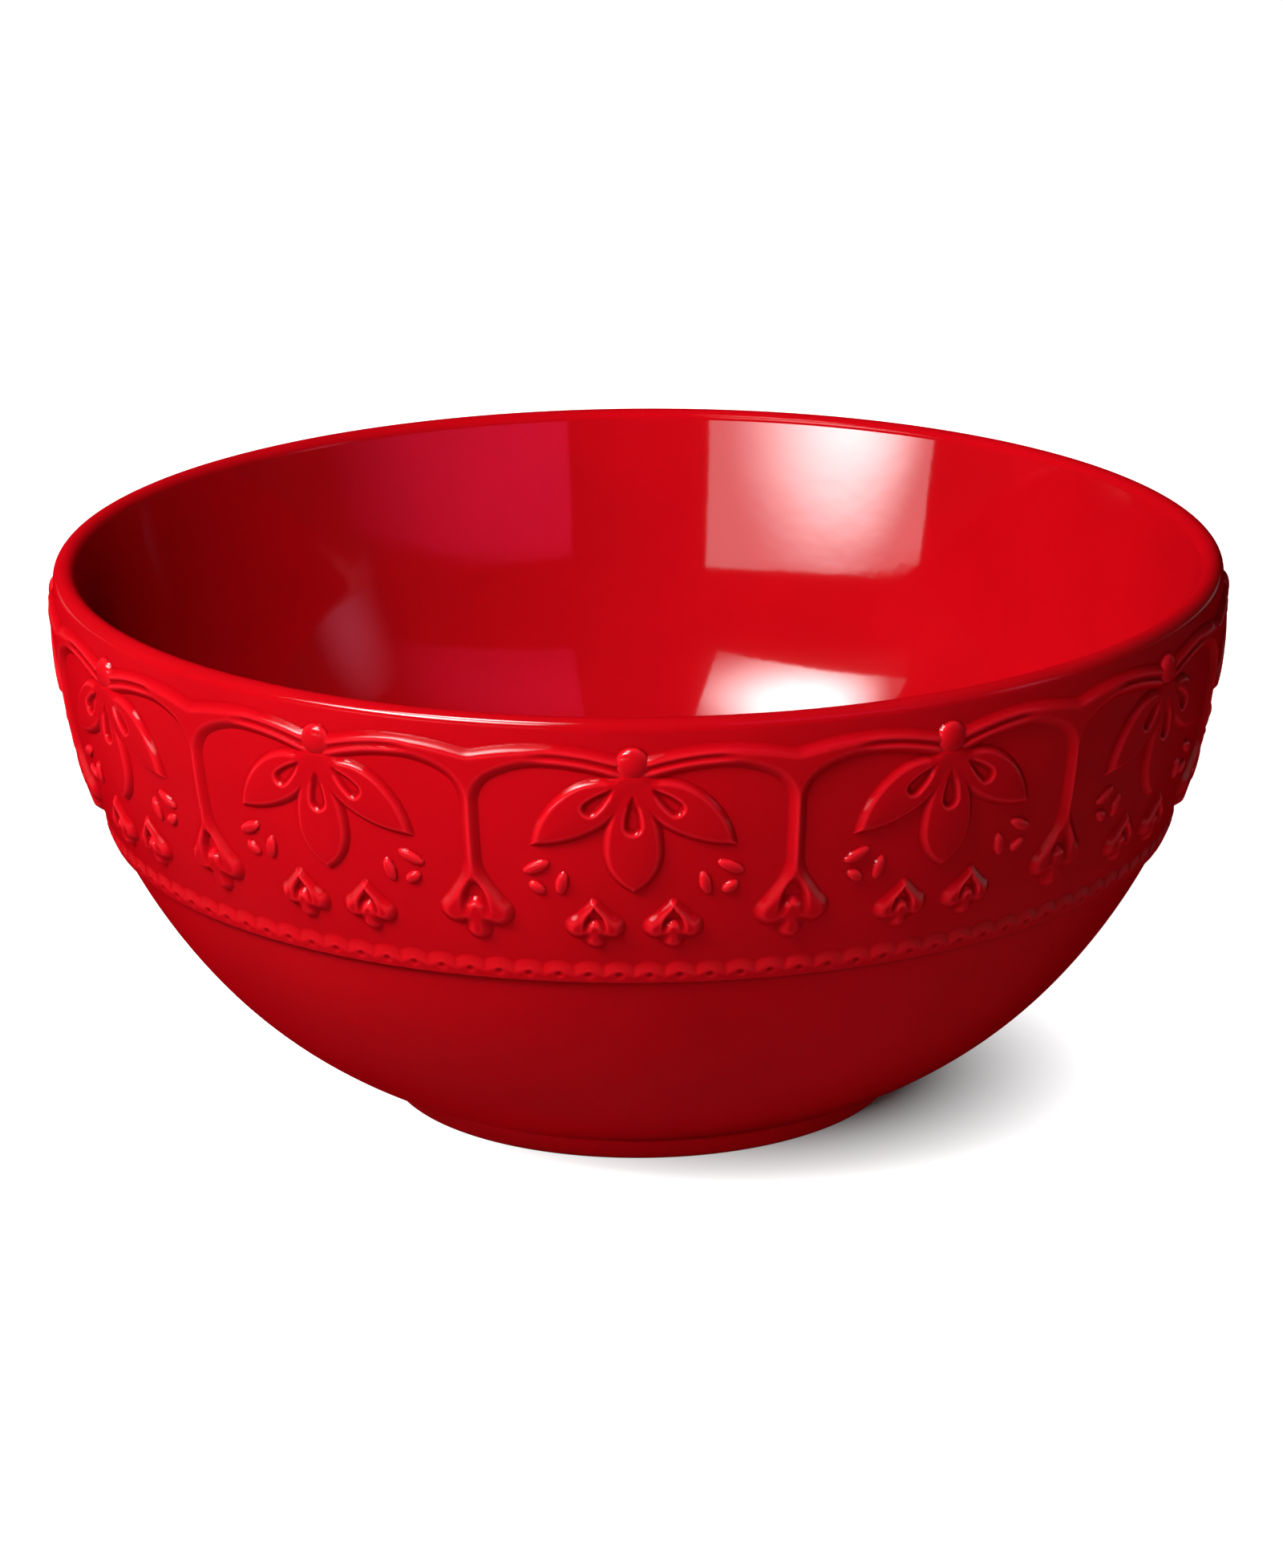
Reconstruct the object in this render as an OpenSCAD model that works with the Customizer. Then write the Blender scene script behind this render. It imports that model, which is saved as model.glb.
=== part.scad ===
// Deep footed bowl of red-glazed stoneware with an applied frieze of hanging lotus flowers.
// The turned body and its foot ring are luted together, and each relief is a separate
// sprig that seats on the wall. Origin on the table under the middle of the bowl, +Z up,
// one flower facing -Y.

/* [Bowl] */
// Outside diameter at the widest part of the wall
rim_d = 254; // [236:1:290]
// Height from the table to the top of the lip
bowl_h = 120.5; // [110:0.5:128]
// Height of the lip above the widest part of the wall
lip_rise = 5.3; // [4:0.1:8]
// Radius of the side of the wall, seen in section
side_r = 127; // [122:1:140]
// Thickness of the wall, which thins towards the lip
wall_t = 7.5; // [6.4:0.1:9]
// Thickness of the round lip
lip_t = 5; // [4:0.1:6]
// Angle below the horizontal at which the side turns into the heel
heel_turn = 40.5; // [36:0.5:44]
// Thickness of the floor over the foot recess
floor_t = 6; // [4.5:0.1:8]
// How far inside the foot ring's inner edge the flat part of the floor ends
floor_in = 10.5; // [6:0.1:16]

/* [Foot] */
// How far the heel draws the side in by the time that it meets the foot ring
heel_cut = 5.6; // [4:0.1:8]
// Height of the foot ring
foot_h = 4.4; // [4:0.1:7]
// Width of the foot ring
foot_w = 8; // [6:0.1:12]
// Rounding of the two lower edges of the foot ring
foot_round = 1.4; // [0.6:0.1:1.8]
// How much deeper the underside is turned inside the foot ring
recess_extra = 1.2; // [0.4:0.1:2]

/* [Frieze] */
// Number of flowers round the bowl
repeats = 12; // [11:1:13]
// Thickness of the flat sprigs
relief_t = 1.1; // [0.7:0.1:1.8]
// Depth of the beads' middles below the top of the lip
crown_drop = 7.6; // [7:0.1:9]

/* [Beads] */
// Diameter of a bead where it meets the wall
bead_d = 6; // [5:0.1:6.2]
// Height of a bead above the wall
bead_rise = 1.9; // [1.2:0.1:2.6]

/* [Lotus flower] */
// Width of the hub that the petals and the arch arms meet
hub_w = 6.4; // [6.3:0.1:7.5]
// Depth of the hub's upper end below the bead's middle
hub_top = 1.2; // [1:0.1:1.6]
// Depth of the petals' common root below the bead's middle
root_drop = 5.6; // [5.2:0.1:6]
// Length of the middle petal
mid_len = 23.3; // [20:0.1:24]
// Half width of the middle petal
mid_half_w = 5.9; // [5:0.1:6.2]
// Distance from the root to the widest place of the middle petal
mid_wide = 13.8; // [12:0.1:15]
// Half width of the middle petal at its root
mid_root_w = 2.2; // [1.6:0.1:2.6]
// Length of a side petal
side_len = 24; // [21:0.1:25]
// Half width of a side petal above its axis
side_upper_w = 6.5; // [5.6:0.1:6.6]
// Half width of a side petal below its axis
side_lower_w = 3.9; // [3.4:0.1:4.6]
// Distance from the root to the widest place of a side petal
side_wide = 10.5; // [9.5:0.1:12]
// Half width of a side petal at its root
side_root_w = 0.6; // [0.4:0.1:0.8]
// Angle of a side petal's axis below the horizontal
side_dip = 32; // [31:0.5:36]
// Distance from the root to the point of a petal's eye
eye_near = 2.5; // [2.2:0.1:3]
// Distance from the root to the middle of the eye's round end
eye_far = 9.4; // [8.5:0.1:10.2]
// Radius of the eye's round end
eye_r = 1.8; // [1.2:0.1:2]
// How far the eye of a side petal lies above the petal's axis
side_eye_shift = 0.9; // [0:0.1:1.2]

/* [Arch stem] */
// Width of the post between two windows
post_w = 3.2; // [2.4:0.1:4]
// Height of the dip over the post above the bead's middle
dip_rise = 0.5; // [0:0.1:0.8]
// How far the arms' upper edge climbs from the dip to its crest
crest_rise = 2.05; // [1.4:0.05:2.2]
// Height of an arm at its crest
arm_h = 4; // [3.2:0.1:4.4]
// How far the window's edge falls from the crest to the hub
hub_fall = 2.2; // [1.8:0.1:2.4]
// Radius of the window's shoulder
shoulder_r = 20; // [18:0.5:24]
// Radius of the window's corner at the post
corner_r = 7; // [5:0.5:8]
// Radius of the flare where the post widens into its drop
flare_r = 9; // [6:0.5:12]

/* [Drop and hearts] */
// Depth of a drop's side lobes below the bead's middle
drop_depth = 34.6; // [32:0.1:36]
// Distance of a drop's side lobes from the post's axis
drop_lobe_x = 4.1; // [3.7:0.1:4.5]
// Radius of a drop's side lobes
drop_lobe_r = 3.1; // [2.8:0.1:3.4]
// Angle between the upright and the slopes over a drop's side lobes
drop_slope = 38; // [36:1:42]
// Radius of the lobe at the bottom of a drop
drop_foot_r = 2.3; // [2:0.1:2.6]
// How far a drop's bottom lobe hangs below its side lobes
drop_foot_drop = 4.3; // [3.6:0.1:4.6]
// Height of the base of a drop's eye over the side lobes' middles
drop_eye_lift = 1.2; // [0.8:0.1:1.6]
// Height of a drop's eye
drop_eye_h = 4.2; // [3:0.1:4.6]
// Half width of a drop's eye at its base
drop_eye_w = 3; // [2.4:0.1:3.2]
// Depth of a heart's side lobes below the bead's middle
heart_depth = 37.4; // [36.6:0.1:38]
// Distance of a heart's side lobes from its axis
heart_lobe_x = 3.3; // [3:0.1:3.6]
// Radius of a heart's side lobes
heart_lobe_r = 2.2; // [2:0.1:2.4]
// Angle between the upright and the slopes over a heart's side lobes
heart_slope = 45; // [42:1:48]
// Rounding of a heart's upper point
heart_tip_r = 0.9; // [0.6:0.1:1.2]
// Radius of the lobe at the bottom of a heart
heart_foot_r = 1.8; // [1.6:0.1:2]
// How far a heart's bottom lobe hangs below its side lobes
heart_foot_drop = 2.6; // [2.4:0.1:3]
// Height of the base of a heart's eye over the side lobes' middles
heart_eye_lift = 0.6; // [0.3:0.1:0.9]
// Height of a heart's eye
heart_eye_h = 2.5; // [2:0.1:2.8]
// Half width of a heart's eye at its base
heart_eye_w = 2.2; // [1.8:0.1:2.4]
// Distance of a heart from the flower's axis
heart_x = 7.8; // [7.4:0.1:9]
// Height of the mound that rises into an eye from its base
eye_mound_h = 1.2; // [0.6:0.1:1.6]

/* [Seed grains] */
// Distance of the upper grain from the flower's axis
upper_seed_x = 18.9; // [18.5:0.1:19.5]
// Depth of the upper grain below the bead's middle
upper_seed_depth = 23.4; // [23.2:0.1:23.8]
// Length of the upper grain
upper_seed_len = 5.6; // [4.4:0.1:5.8]
// Width of the upper grain
upper_seed_w = 2; // [1.4:0.1:2.2]
// Slope of the upper grain, rising away from the flower's axis
upper_seed_slope = -25; // [-30:1:-20]
// Distance of the inner grain from the flower's axis
inner_seed_x = 14.3; // [13.9:0.1:14.6]
// Depth of the inner grain below the bead's middle
inner_seed_depth = 26.9; // [26.6:0.1:27.4]
// Length of the inner grain
inner_seed_len = 5; // [4:0.1:5.4]
// Width of the inner grain
inner_seed_w = 2; // [1.4:0.1:2.2]
// Slope of the inner grain, rising away from the flower's axis
inner_seed_slope = -77; // [-84:1:-70]
// Distance of the small grain from the flower's axis
small_seed_x = 18.7; // [18.4:0.1:19.4]
// Depth of the small grain below the bead's middle
small_seed_depth = 28; // [27.6:0.1:28.6]
// Length of the small grain
small_seed_len = 3.4; // [2.8:0.1:3.8]
// Width of the small grain
small_seed_w = 1.8; // [1.4:0.1:2]
// Slope of the small grain, rising away from the flower's axis
small_seed_slope = 34; // [26:1:42]

/* [Lace edge] */
// Clear height between the hearts and the strip's scallops
lace_gap = 3.9; // [3:0.1:5]
// Height of the strip up to the notches between its scallops
lace_h = 3.6; // [3:0.1:4.4]
// How far a scallop stands over the notches
scallop_rise = 1.3; // [0.8:0.1:1.8]
// Width of a scallop's flat top
scallop_flat = 1.6; // [1:0.1:2.4]
// Number of scallops under one flower
scallops = 10; // [8:1:12]
// Diameter of an eyelet
eyelet_d = 1.6; // [1:0.1:2]
// Height of an eyelet's middle over the strip's lower edge
eyelet_h = 2.3; // [2:0.1:2.6]

/* [Hidden] */
$fn = 96;
arc_tol = 0.05;
spare = 1;
rim_r = rim_d / 2;
lip_r = lip_t / 2;
pitch = 360 / repeats;
front = -90;

// Side of the wall: one arc, upright at the belly
belly_z = bowl_h - lip_rise;
side_c = [rim_r - side_r, belly_z];
inner_r = side_r - wall_t;

// The foot ring stands where the drawn-in side ends
foot_r = wall_radius(foot_h) - heel_cut;
foot_inner_r = foot_r - foot_w;

// Where two arcs of the section meet they cross at this small angle
crossing = 1;

// Heel: an arc that leaves the side at heel_turn and ends on the foot ring's upper edge
heel_start = side_c + side_r * [cos(heel_turn), -sin(heel_turn)];
heel_normal = [cos(heel_turn + crossing), -sin(heel_turn + crossing)];
to_foot = [foot_r, foot_h] - heel_start;
heel_r = -(to_foot * to_foot) / (2 * to_foot * heel_normal);
heel_c = heel_start - heel_r * heel_normal;

// Inside: an arc that rises from the edge of the flat floor and crosses the wall's inner side
recess_z = foot_h + recess_extra;
floor_z = recess_z + floor_t;
floor_edge = [foot_inner_r - floor_in, floor_z];
floor_normal = [-sin(crossing), cos(crossing)];
from_centre = floor_edge - side_c;
bend_r = (inner_r * inner_r - from_centre * from_centre)
    / (2 * (from_centre * floor_normal + inner_r * cos(crossing)));
bend_c = floor_edge + bend_r * floor_normal;

// The inside flares in a straight line that leaves the wall's inner arc and ends at the lip
lip_edge = [rim_r - lip_t, bowl_h - lip_r];
to_lip = lip_edge - side_c;
flare_near = inner_r * cos(crossing);
flare_turn = atan2(to_lip[1], to_lip[0]) - acos(flare_near / norm(to_lip));
flare_foot = side_c + flare_near * [cos(flare_turn), sin(flare_turn)];

// Frieze: heights are those of the table, and a sprig is drawn as seen along its own radius
crown_z = bowl_h - crown_drop;
root_z = crown_z - root_drop;
half_pitch = wall_radius(crown_z) * sin(pitch / 2);
arm_end = half_pitch - hub_w / 2;
crest_x = arm_end / 2;
crest_z = crown_z + dip_rise + crest_rise;
window_z = crest_z - arm_h;
heart_end_z = crown_z - heart_depth - heart_foot_drop - heart_foot_r;
notch_z = heart_end_z - lace_gap - scallop_rise;
lace_z = notch_z - lace_h;
scallop_pitch = pitch / scallops;

// The flower's three petals: axis angle, length, widest place, left, right and root half widths,
// and how far the eye lies to the left of the axis
petals = [[-90, mid_len, mid_wide, mid_half_w, mid_half_w, mid_root_w, 0],
    [-side_dip, side_len, side_wide, side_upper_w, side_lower_w, side_root_w, side_eye_shift],
    [180 + side_dip, side_len, side_wide, side_lower_w, side_upper_w, side_root_w, -side_eye_shift]];

// The three grains beside a flower: distance from its axis, depth, length, width and slope
seeds = [[upper_seed_x, upper_seed_depth, upper_seed_len, upper_seed_w, upper_seed_slope],
    [inner_seed_x, inner_seed_depth, inner_seed_len, inner_seed_w, inner_seed_slope],
    [small_seed_x, small_seed_depth, small_seed_len, small_seed_w, small_seed_slope]];

// Angles at which a trefoil's bottom lobe and side lobe break off at the notch between them
notch_from = 25;
notch_to = -110;

// A scallop's edge bends at these shares of the gap's half width and of the scallop's rise,
// and is drawn on past the scallop's flat top to the second pair
scallop_bend = [0.5, 0.7];
scallop_past = [1.25, 1.15];

// Radii between which an outline is pressed out, clear of the wall's layer on both sides
press_from = wall_radius(lace_z) * cos(pitch / 2) - spare;
press_to = rim_r + relief_t + spare;

stem_names = [for (i = [1:repeats]) str("arch_stem_", i < 10 ? "0" : "", i)];
flower_names = [for (i = [1:repeats]) str("lotus_flower_", i < 10 ? "0" : "", i)];

glaze = [0.80, 0.03, 0.07];
foot_glaze = [0.72, 0.03, 0.06];

// Outer radius of the wall at a height within the side arc
function wall_radius(z) = side_c[0] + sqrt(side_r * side_r - (z - side_c[1]) * (z - side_c[1]));
// Angle of the wall's normal above the horizontal at a height within the side arc
function wall_tilt(z) = asin((z - side_c[1]) / side_r);
// Points of an arc round a centre, from one angle to another, whose chords keep within arc_tol
function arc(c, r, from, to) = let (steps = ceil(abs(to - from) / (2 * acos(1 - arc_tol / r))))
    [for (i = [0:steps]) let (a = from + (to - from) * i / steps) c + r * [cos(a), sin(a)]];
// Radius of an arc that falls by sag over a run from its upright or level end
function sag_radius(run, sag) = (run * run + sag * sag) / (2 * sag);
// Mirror image of an outline's half, in reverse order, to close the outline
function other_half(pts) = [for (i = [len(pts) - 1:-1:0]) [-pts[i][0], pts[i][1]]];

// Part of a disc between two heights, right of the bowl's axis
module disc_band(c, r, low, high) {
    intersection() {
        translate(c) circle(r);
        translate([0, low]) square([c[0] + r + spare, high - low]);
    }
}

// Half section up to the belly: the side's arc, drawn in below by a second arc that crosses it
module drawn_in(r, low_c, low_r, low) {
    to_low = low_c - side_c;
    lap_z = side_c[1] + r * to_low[1] / norm(to_low);
    intersection() {
        disc_band(side_c, r, low, belly_z);
        union() {
            disc_band(low_c, low_r, low, low_c[1]);
            translate([0, low]) square([low_c[0], lap_z - low + spare]);
            translate([0, lap_z]) square([rim_d, bowl_h]);
        }
    }
}

// Full section of the bowl outside, up to the middle of the lip's round
module outer_section() {
    drawn_in(side_r, heel_c, heel_r, foot_h);
    translate([0, belly_z]) square([rim_r, bowl_h - lip_r - belly_z]);
}

// Section of the hollow inside
module inner_section() {
    drawn_in(inner_r, bend_c, bend_r, floor_z);
    polygon([[0, flare_foot[1]], flare_foot, lip_edge, [lip_edge[0], bowl_h], [0, bowl_h]]);
}

module bowl_body() color(glaze) rotate_extrude() {
    difference() {
        outer_section();
        inner_section();
        square([foot_inner_r, recess_z]);
    }
    intersection() {
        translate(lip_edge + [lip_r, 0]) circle(lip_r);
        translate(lip_edge) square([lip_t, lip_r]);
    }
}

module foot_ring() color(foot_glaze) rotate_extrude() {
    translate([foot_inner_r, foot_round]) square([foot_w, foot_h - foot_round]);
    translate([foot_inner_r + foot_round, 0]) square([foot_w - 2 * foot_round, foot_round]);
    for (x = [foot_inner_r + foot_round, foot_r - foot_round])
        intersection() {
            translate([x, foot_round]) circle(foot_round);
            translate([x - foot_round, 0]) square([2 * foot_round, foot_round]);
        }
}

// Layer of clay on the side of the wall
module wall_layer(thick, low, high) rotate_extrude()
    difference() {
        disc_band(side_c, side_r + thick, low, high);
        translate(side_c) circle(side_r);
    }

// Children, drawn flat with their heights, pressed out along the radius at an angle
module on_radius(angle) rotate(angle + 90) translate([0, -press_from, 0]) rotate([90, 0, 0])
    linear_extrude(press_to - press_from) children();

// Children placed on the wall at an angle and a height, X along the wall's normal, Z up the wall
module on_wall(angle, z) rotate(angle) translate([side_c[0], 0, side_c[1]])
    rotate([0, -wall_tilt(z), 0]) translate([side_r, 0, 0]) children();

// One edge of a petal that lies along +X, from its root over its widest place to its tip
function petal_edge(length, wide, half_w, root_w) = let (
    root_arc = sag_radius(wide, half_w - root_w),
    tip_run = length - wide, tip_arc = sag_radius(tip_run, half_w))
    concat(arc([wide, half_w - root_arc], root_arc, 90 + asin(wide / root_arc), 90),
        arc([wide, half_w - tip_arc], tip_arc, 90, 90 - asin(tip_run / tip_arc)));

// A petal between its left and right edges, both seen along its axis
module petal(length, wide, left_w, right_w, root_w) {
    right = petal_edge(length, wide, right_w, root_w);
    polygon(concat(petal_edge(length, wide, left_w, root_w),
        [for (i = [len(right) - 2:-1:0]) [right[i][0], -right[i][1]]]));
}

// Drop-shaped hole in a petal, pointed towards the root
module petal_eye(shift) translate([0, shift]) {
    open = acos(eye_r / (eye_far - eye_near));
    polygon(concat([[eye_near, 0]], arc([eye_far, 0], eye_r, open - 180, 180 - open)));
}

module lotus_flower(i) {
    angle = front + pitch * (i - 1);
    color(glaze) intersection() {
        wall_layer(relief_t, root_z - mid_len - spare, bowl_h);
        difference() {
            union() {
                for (p = petals)
                    on_radius(angle) translate([0, root_z]) rotate(p[0]) petal(p[1], p[2], p[3], p[4], p[5]);
                on_radius(angle) translate([-hub_w / 2, root_z - eye_near / 2])
                    square([hub_w, eye_near / 2 + root_drop - hub_top]);
            }
            for (p = petals)
                on_radius(angle) translate([0, root_z]) rotate(p[0]) petal_eye(p[6]);
            on_radius(angle) translate([0, crown_z]) circle(bead_d / 2);
        }
    }
}

// Right half of a trefoil's lower edge: bottom lobe, notch and side lobe, up to the slope's start
function lobes(depth, lobe_x, lobe_r, slope, bottom_drop, bottom_r) = concat(
    arc([0, crown_z - depth - bottom_drop], bottom_r, -90, notch_from),
    arc([lobe_x, crown_z - depth], lobe_r, notch_to, slope));

// Chevron-shaped eye between the lobes, over the mound in the middle
module chevron_eye(base_z, height, half_w) translate([0, base_z])
    polygon([[0, height], [-half_w, 0], [0, eye_mound_h], [half_w, 0]]);

module heart_outline() difference() {
    tip_z = crown_z - heart_depth + heart_lobe_r / sin(heart_slope) + heart_lobe_x / tan(heart_slope)
        - heart_tip_r / sin(heart_slope);
    half = concat(lobes(heart_depth, heart_lobe_x, heart_lobe_r, heart_slope, heart_foot_drop, heart_foot_r),
        arc([0, tip_z], heart_tip_r, heart_slope, 90));
    polygon(concat(half, other_half(half)));
    chevron_eye(crown_z - heart_depth + heart_eye_lift, heart_eye_h, heart_eye_w);
}

module heart_drops() color(glaze) intersection() {
    wall_layer(relief_t, lace_z, crown_z);
    for (i = [0:repeats - 1], side = [-1, 1])
        on_radius(front + pitch * i + side * asin(heart_x / wall_radius(crown_z - heart_depth)))
            heart_outline();
}

// Right half of a stem: from the drop's bottom up the post, over the window and along the arm
function stem_half() = let (
    lobe_end = [drop_lobe_x, crown_z - drop_depth] + drop_lobe_r * [cos(drop_slope), sin(drop_slope)],
    flare_x = post_w / 2 + flare_r * (1 - cos(drop_slope)),
    flare_c = [post_w / 2 + flare_r,
        lobe_end[1] + (lobe_end[0] - flare_x) / tan(drop_slope) + flare_r * sin(drop_slope)],
    shoulder_c = [crest_x, window_z - shoulder_r],
    corner_x = post_w / 2 + corner_r,
    corner_reach = shoulder_r - corner_r,
    corner_c = [corner_x, shoulder_c[1] + sqrt(pow(corner_reach, 2) - pow(crest_x - corner_x, 2))],
    corner_turn = 90 + asin((crest_x - corner_x) / corner_reach),
    run = half_pitch - crest_x,
    fall_r = sag_radius(arm_end - crest_x, hub_fall),
    crest_r = sag_radius(crest_x, crest_rise))
    concat(lobes(drop_depth, drop_lobe_x, drop_lobe_r, drop_slope, drop_foot_drop, drop_foot_r),
        arc(flare_c, flare_r, 180 + drop_slope, 180),
        arc(corner_c, corner_r, 180, corner_turn),
        arc(shoulder_c, shoulder_r, corner_turn, 90),
        arc([crest_x, window_z - fall_r], fall_r, 90, 90 - asin(run / fall_r)),
        arc([crest_x, crest_z - crest_r], crest_r, 90 - asin(run / crest_r), 90 + asin(crest_x / crest_r)));

module stem_outline() difference() {
    half = stem_half();
    polygon(concat(half, other_half(half)));
    chevron_eye(crown_z - drop_depth + drop_eye_lift, drop_eye_h, drop_eye_w);
}

module arch_stem(i) color(glaze) difference() {
    intersection() {
        wall_layer(relief_t, lace_z, bowl_h);
        on_radius(front + pitch * (i - 0.5)) stem_outline();
    }
    for (side = [-1, 0])
        on_radius(front + pitch * (i + side)) translate([-hub_w / 2, 0]) square([hub_w, bowl_h]);
}

// A flat-backed dome on the wall, turned about the wall's normal
module crown_beads() color(glaze) {
    ball_r = sag_radius(bead_d / 2, bead_rise);
    for (i = [0:repeats - 1])
        on_wall(front + pitch * i, crown_z) rotate([0, 90, 0]) rotate_extrude()
            disc_band([0, bead_rise - ball_r], ball_r, 0, bead_rise);
}

// One flat-backed grain along Y with round ends, which stands out along X
module grain(length, width) rotate([90, 0, 0]) rotate_extrude(angle = 180, start = -90) {
    straight = length - width;
    translate([0, -straight / 2]) square([width / 2, straight]);
    disc_band([0, straight / 2], width / 2, straight / 2, length / 2);
    disc_band([0, -straight / 2], width / 2, -length / 2, -straight / 2);
}

module seed_grains() color(glaze)
    for (i = [0:repeats - 1], side = [-1, 1], seed = seeds)
        on_wall(front + pitch * i + side * asin(seed[0] / wall_radius(crown_z - seed[1])), crown_z - seed[1])
            rotate([side * seed[4], 0, 0]) grain(seed[2], seed[3]);

// Gap between two scallops, whose bulging edges run on past the scallops' flat tops
module scallop_gap() {
    half_w = wall_radius(lace_z) * sin(scallop_pitch / 2) - scallop_flat / 2;
    edge = [for (share = [scallop_bend, scallop_past]) [share[0] * half_w, share[1] * scallop_rise]];
    translate([0, notch_z]) polygon(concat([[0, 0]], edge, other_half(edge)));
}

module lace_edge() color(glaze) difference() {
    wall_layer(relief_t, lace_z, notch_z + scallop_rise);
    for (k = [0:repeats * scallops - 1]) {
        on_radius(front + scallop_pitch * k) scallop_gap();
        on_radius(front + scallop_pitch * (k + 0.5)) translate([0, lace_z + eyelet_h]) circle(d = eyelet_d);
    }
}

bowl_body();
foot_ring();
lace_edge();
for (i = [1:repeats]) arch_stem(i);
for (i = [1:repeats]) lotus_flower(i);
crown_beads();
seed_grains();
heart_drops();
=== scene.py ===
import math

import bpy
import numpy as np
from mathutils import Matrix, Vector


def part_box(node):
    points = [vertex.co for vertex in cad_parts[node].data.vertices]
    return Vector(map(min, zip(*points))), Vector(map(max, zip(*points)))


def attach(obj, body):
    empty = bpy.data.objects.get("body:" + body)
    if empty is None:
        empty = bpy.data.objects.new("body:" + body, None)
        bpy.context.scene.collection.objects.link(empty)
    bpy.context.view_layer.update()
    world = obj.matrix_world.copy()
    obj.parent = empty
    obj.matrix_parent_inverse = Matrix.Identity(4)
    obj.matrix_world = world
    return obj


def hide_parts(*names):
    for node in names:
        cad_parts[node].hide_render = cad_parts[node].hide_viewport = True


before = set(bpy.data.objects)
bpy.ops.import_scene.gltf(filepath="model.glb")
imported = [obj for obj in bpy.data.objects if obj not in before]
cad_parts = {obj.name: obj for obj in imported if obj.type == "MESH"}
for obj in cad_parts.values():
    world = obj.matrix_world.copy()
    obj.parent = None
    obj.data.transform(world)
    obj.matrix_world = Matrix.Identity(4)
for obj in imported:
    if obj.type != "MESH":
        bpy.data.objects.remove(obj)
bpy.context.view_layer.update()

# Bowl body
# The turned stoneware body: a half-ball wall that thins towards a round lip and is drawn in at the heel.
# Its inside flares a little under the lip, and one red gloss glaze covers it inside and out. Under the
# lace strip a line of painted shade darkens the glaze.
MM = 0.001
body_low, body_high = (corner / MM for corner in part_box("bowl_body"))
rim_r = body_high.x
bowl_h = body_high.z
foot_h = body_low.z
foot_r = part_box("foot_ring")[1].x / MM
foot_w = 8.0
lip_r = 2.5
lip_rise = 5.3
side_r = rim_r
wall_t = 8.6
flare_r = 500.0
heel_turn = 40.5
recess_h = 1.2
recess_z = foot_h + recess_h
floor_t = 6.0
floor_z = recess_z + floor_t
floor_in = 10.5
belly_z = bowl_h - lip_rise
belly_c = np.array([0, belly_z])
turns = 360
sharp_turn = 50


def toward(degrees):
    """The direction of an angle above the level, as (across, up)."""
    return np.array([math.cos(math.radians(degrees)), math.sin(math.radians(degrees))])


def angle_of(across, up):
    """The angle of a direction above the level, in degrees."""
    return math.degrees(math.atan2(up, across))


def arc(centre, radius, start, end, step):
    """Points of an arc in millimetres, from one angle in degrees to another, a step apart at most."""
    count = math.ceil(abs(math.radians(end - start)) * radius / step) + 1
    angle = np.radians(np.linspace(start, end, max(count, 3)))
    return np.column_stack([centre[0] + radius * np.cos(angle), centre[1] + radius * np.sin(angle)])


def turned(section):
    """The section's points carried round the bowl's axis, as one row of points for each turn."""
    angle = np.radians(np.arange(turns) * 360 / turns)[:, None]
    return np.stack([section[:, 0] * np.sin(angle), -section[:, 0] * np.cos(angle),
                     np.broadcast_to(section[:, 1], (turns, len(section)))], axis=-1)


def skin(rows, closed):
    """Quads between neighbouring rows, right round. Open rows are capped at both ends."""
    index = np.arange(rows.shape[0] * rows.shape[1]).reshape(rows.shape[:2])
    ahead = np.roll(index, -1, axis=0)
    quads = np.stack([index, ahead, np.roll(ahead, -1, axis=1), np.roll(index, -1, axis=1)], axis=-1)
    if closed:
        return quads.reshape(-1, 4).tolist()
    return quads[:, :-1].reshape(-1, 4).tolist() + [index[::-1, 0].tolist(), index[:, -1].tolist()]


def piece(name, points, faces, material, **marks):
    """A mesh of points in millimetres, smooth but for its sharp corners, that rides on the bowl.

    Each mark is a named number for every point, which the glaze reads.
    """
    mesh = bpy.data.meshes.new(name)
    mesh.from_pydata((np.reshape(points, (-1, 3)) * MM).tolist(), [], faces)
    mesh.polygons.foreach_set("use_smooth", [True] * len(mesh.polygons))
    mesh.set_sharp_from_angle(angle=math.radians(sharp_turn))
    for mark, values in marks.items():
        mesh.attributes.new(mark, "FLOAT", "POINT").data.foreach_set("value", np.ravel(values))
    mesh.materials.append(material)
    obj = bpy.data.objects.new(name, mesh)
    bpy.context.collection.objects.link(obj)
    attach(obj, "root")
    return obj


def node_group(name, inputs, outputs):
    """An empty shader node group: its tree, the sockets of what comes in and those of what goes out."""
    tree = bpy.data.node_groups.new(name, "ShaderNodeTree")
    for label, kind in inputs:
        tree.interface.new_socket(label, in_out="INPUT", socket_type=kind)
    for label, kind in outputs:
        tree.interface.new_socket(label, in_out="OUTPUT", socket_type=kind)
    return tree, tree.nodes.new("NodeGroupInput").outputs, tree.nodes.new("NodeGroupOutput").inputs


def noise(tree, scale, detail):
    """Cloudy noise over the object's own coordinates, which are in metres."""
    node = tree.nodes.new("ShaderNodeTexNoise")
    node.inputs["Scale"].default_value = scale
    node.inputs["Detail"].default_value = detail
    place = tree.nodes.new("ShaderNodeTexCoord")
    tree.links.new(place.outputs["Object"], node.inputs["Vector"])
    return node.outputs["Fac"]


def remap(tree, value, span, result):
    """A value carried in proportion from one span to another, and held at the ends."""
    node = tree.nodes.new("ShaderNodeMapRange")
    for label, number in zip(("From Min", "From Max", "To Min", "To Max"), (*span, *result)):
        node.inputs[label].default_value = number
    tree.links.new(value, node.inputs["Value"])
    return node.outputs["Result"]


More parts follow.
